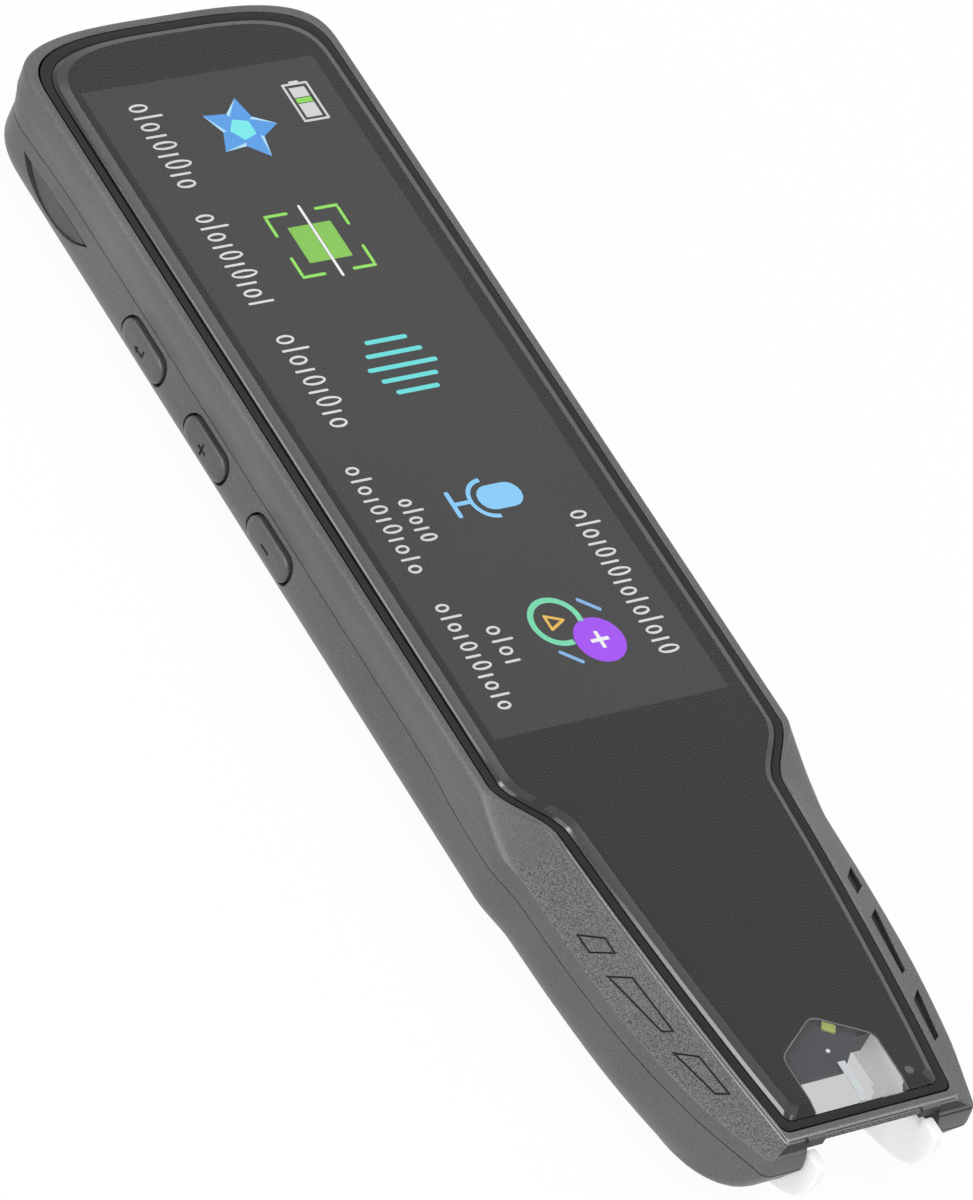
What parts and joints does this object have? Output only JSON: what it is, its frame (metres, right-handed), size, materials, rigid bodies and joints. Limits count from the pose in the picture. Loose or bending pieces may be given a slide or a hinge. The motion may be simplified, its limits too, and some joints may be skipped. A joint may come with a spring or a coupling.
{
  "type": "translation scanner pen",
  "caption": "Flat hand-held scanner pen: long touch screen, narrowed nose with a reading mouth between two white feet, and keys along one side.",
  "frame": {"origin": "centre of the bounding box, at the level of the flat back that the pen lies on", "axes": "+Z out of the screen, +Y from the reading tip to the rounded top end, -X towards the side with the keys"},
  "size_m": [0.0356, 0.1384, 0.012],
  "materials": {
    "shell_grey": "grey fine-textured moulded plastic with a satin paint",
    "key_grey": "grey satin moulded plastic",
    "frame_black": "black gloss moulded plastic",
    "cover_glass": "clear polished glass",
    "black_print": "black screen-printed ink",
    "white_mark": "white",
    "screen": "dark grey display film",
    "light_grey": "light grey plastic",
    "board_green": "green circuit board",
    "screw_steel": "nickel-plated steel",
    "can_steel": "thin rolled steel",
    "spring_steel": "drawn spring wire",
    "foam": "black foam tape",
    "film_amber": "amber polyimide film",
    "dark_plastic": "dark moulded plastic",
    "cell_silver": "silver laminated foil",
    "foot_white": "milky white translucent plastic",
    "barrel_black": "black anti-glare plastic",
    "lens_glass": "coated glass",
    "lamp_yellow": "yellow phosphor"
  },
  "bodies": {
    "casing": {"back_shell": "shell_grey", "front_shell": "shell_grey", "bezel_frame": "frame_black", "cover_glass": "cover_glass", "front_print": "black_print", "guide_line": "white_mark", "marker_lamp": "white_mark", "touch_film": "screen", "lcd_panel": "screen", "backlight": "light_grey", "aerial": "light_grey", "main_board": "board_green", "battery_board": "board_green", "key_board": "board_green", "camera_board": "board_green", "board_screw_1": "screw_steel", "board_screw_2": "screw_steel", "board_screw_3": "screw_steel", "board_screw_4": "screw_steel", "cpu_shield": "can_steel", "charging_socket": "can_steel", "microphone": "can_steel", "return_key_switch": "can_steel", "plus_key_switch": "can_steel", "minus_key_switch": "can_steel", "power_key_switch": "can_steel", "screen_pad": "foam", "battery_tape": "foam", "speaker_gasket": "foam", "screen_ribbon": "film_amber", "camera_ribbon": "film_amber", "ribbon_socket": "dark_plastic", "speaker": "dark_plastic", "light_sensor": "dark_plastic", "camera_housing": "dark_plastic", "window_mask": "dark_plastic", "foot_switch": "dark_plastic", "battery_lead": "dark_plastic", "battery": "cell_silver", "lens_barrel": "barrel_black", "lens": "lens_glass", "scan_lamp": "lamp_yellow"},
    "foot": {"scan_foot": "foot_white", "foot_plunger": "foot_white", "foot_spring_left": "spring_steel", "foot_spring_right": "spring_steel"},
    "return_button": {"return_key": "key_grey", "return_key_plunger": "dark_plastic"},
    "plus_button": {"plus_key": "key_grey", "plus_key_plunger": "dark_plastic"},
    "minus_button": {"minus_key": "key_grey", "minus_key_plunger": "dark_plastic"},
    "power_button": {"power_key": "key_grey", "power_key_plunger": "dark_plastic"}
  },
  "joints": [
    {"name": "foot_slide", "type": "slide", "parent": "casing", "child": "foot", "axis": [0, 1, 0], "range_m": [0, 0.0006], "stiffness_N_per_m": 300, "springref_m": -0.0005},
    {"name": "return_press", "type": "slide", "parent": "casing", "child": "return_button", "axis": [1, 0, 0], "range_m": [0, 0.0003], "stiffness_N_per_m": 1000, "springref_m": -0.0002},
    {"name": "plus_press", "type": "slide", "parent": "casing", "child": "plus_button", "axis": [1, 0, 0], "range_m": [0, 0.0003], "stiffness_N_per_m": 1000, "springref_m": -0.0002},
    {"name": "minus_press", "type": "slide", "parent": "casing", "child": "minus_button", "axis": [1, 0, 0], "range_m": [0, 0.0003], "stiffness_N_per_m": 1000, "springref_m": -0.0002},
    {"name": "power_press", "type": "slide", "parent": "casing", "child": "power_button", "axis": [1, 0, 0], "range_m": [0, 0.0003], "stiffness_N_per_m": 1000, "springref_m": -0.0002}
  ]
}
